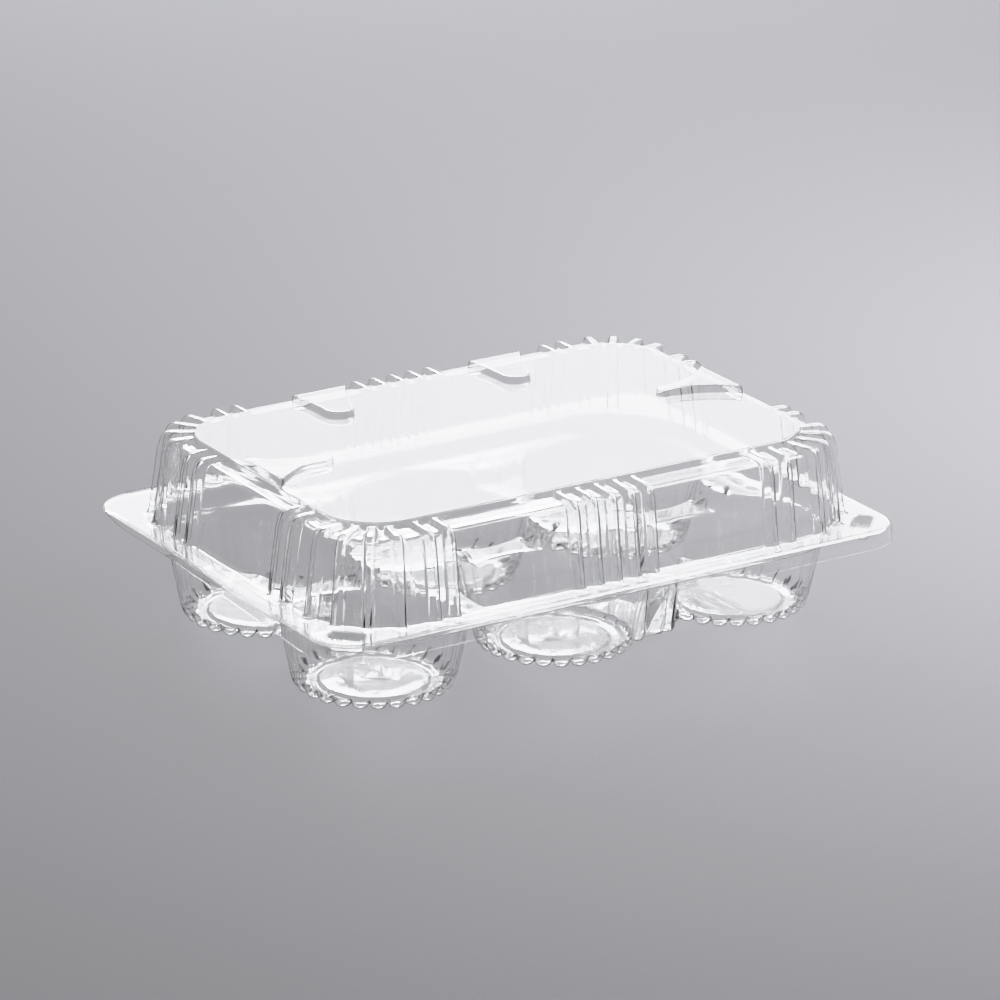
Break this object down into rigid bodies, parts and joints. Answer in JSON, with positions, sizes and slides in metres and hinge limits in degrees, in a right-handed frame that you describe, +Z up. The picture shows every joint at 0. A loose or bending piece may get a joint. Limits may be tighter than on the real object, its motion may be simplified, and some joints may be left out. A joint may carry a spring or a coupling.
{
  "type": "clear hinged cup pack",
  "caption": "Clear formed clamshell with round cups in the base, a ribbed dome lid on a living hinge, corner snap buttons and stacking lugs.",
  "frame": {"origin": "centre of the closed pack's footprint, on the surface it stands on", "axes": "+X along the long side, +Y towards the hinge, +Z up"},
  "size_m": [0.25, 0.1804, 0.0736],
  "materials": {
    "clear_sheet": "gloss"
  },
  "bodies": {
    "base": {"base_flange": "clear_sheet", "cup_back_left": "clear_sheet", "cup_back_middle": "clear_sheet", "cup_back_right": "clear_sheet", "cup_front_left": "clear_sheet", "cup_front_middle": "clear_sheet", "cup_front_right": "clear_sheet", "deep_channel": "clear_sheet", "latch_socket_left": "clear_sheet", "latch_socket_right": "clear_sheet", "living_hinge": "clear_sheet", "post_back_left": "clear_sheet", "post_back_right": "clear_sheet", "post_centre_left": "clear_sheet", "post_centre_right": "clear_sheet", "post_end_left": "clear_sheet", "post_end_right": "clear_sheet", "post_front_left": "clear_sheet", "post_front_right": "clear_sheet", "rim_wall": "clear_sheet", "saddle_back_left": "clear_sheet", "saddle_back_right": "clear_sheet", "saddle_front_left": "clear_sheet", "saddle_left": "clear_sheet", "saddle_middle": "clear_sheet", "saddle_right": "clear_sheet"},
    "lid": {"dome_corner_back_left": "clear_sheet", "dome_corner_back_right": "clear_sheet", "dome_corner_front_left": "clear_sheet", "dome_corner_front_right": "clear_sheet", "dome_side_back": "clear_sheet", "dome_side_front": "clear_sheet", "dome_side_left": "clear_sheet", "dome_side_right": "clear_sheet", "latch_button_left": "clear_sheet", "latch_button_right": "clear_sheet", "lid_flange": "clear_sheet", "lid_skirt": "clear_sheet", "panel_step": "clear_sheet", "ribs_back_left": "clear_sheet", "ribs_back_middle": "clear_sheet", "ribs_back_right": "clear_sheet", "ribs_front_left": "clear_sheet", "ribs_front_middle": "clear_sheet", "ribs_front_right": "clear_sheet", "shoulder_ledge": "clear_sheet", "stacking_lug_back_left": "clear_sheet", "stacking_lug_back_right": "clear_sheet", "stacking_lug_end_left": "clear_sheet", "stacking_lug_end_right": "clear_sheet", "top_panel": "clear_sheet"}
  },
  "joints": [
    {"name": "lid_hinge", "type": "hinge", "parent": "base", "child": "lid", "pos_m": [0, 0.08955, 0.0365], "axis": [-1, 0, 0], "range_deg": [0, 178], "deforming": ["living_hinge"]}
  ]
}
